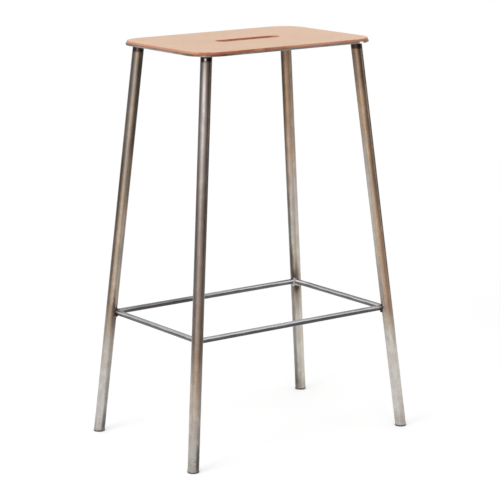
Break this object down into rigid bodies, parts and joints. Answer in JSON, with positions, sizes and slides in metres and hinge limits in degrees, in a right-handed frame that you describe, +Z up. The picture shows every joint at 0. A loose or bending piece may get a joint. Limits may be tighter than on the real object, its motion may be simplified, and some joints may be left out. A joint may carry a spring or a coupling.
{
  "type": "bar stool with footrest",
  "caption": "Backless bar stool: leather-covered oblong seat with a hand slot, splayed tubular steel legs and a footrest ring of round bar, for sitting at a bar counter.",
  "frame": {"origin": "on the floor under the middle of the seat, which is the bottom centre of the part's box", "axes": "+X along the long side of the seat, +Y from the front to the rear, +Z up from the floor"},
  "size_m": [0.5114, 0.3466, 0.76],
  "materials": {
    "leather": "natural vegetable-tanned hide, matt, burnished edges",
    "plate_steel": "raw steel under clear wax",
    "leg_steel": "raw steel tube with brown mill patina and heat tint at the welds",
    "bar_steel": "bright drawn steel bar, lightly darkened",
    "weld_metal": "unground weld bead",
    "glide_plastic": "dark grey moulded plastic"
  },
  "bodies": {
    "root": {"leather_seat": "leather", "seat_plate": "plate_steel", "leg_front_left": "leg_steel", "leg_front_right": "leg_steel", "leg_rear_left": "leg_steel", "leg_rear_right": "leg_steel", "footrest_front": "bar_steel", "footrest_rear": "bar_steel", "footrest_left": "bar_steel", "footrest_right": "bar_steel", "plate_weld_front_left": "weld_metal", "plate_weld_front_right": "weld_metal", "plate_weld_rear_left": "weld_metal", "plate_weld_rear_right": "weld_metal", "corner_weld_front_left": "weld_metal", "corner_weld_front_right": "weld_metal", "corner_weld_rear_left": "weld_metal", "corner_weld_rear_right": "weld_metal", "glide_front_left": "glide_plastic", "glide_front_right": "glide_plastic", "glide_rear_left": "glide_plastic", "glide_rear_right": "glide_plastic"}
  },
  "joints": []
}
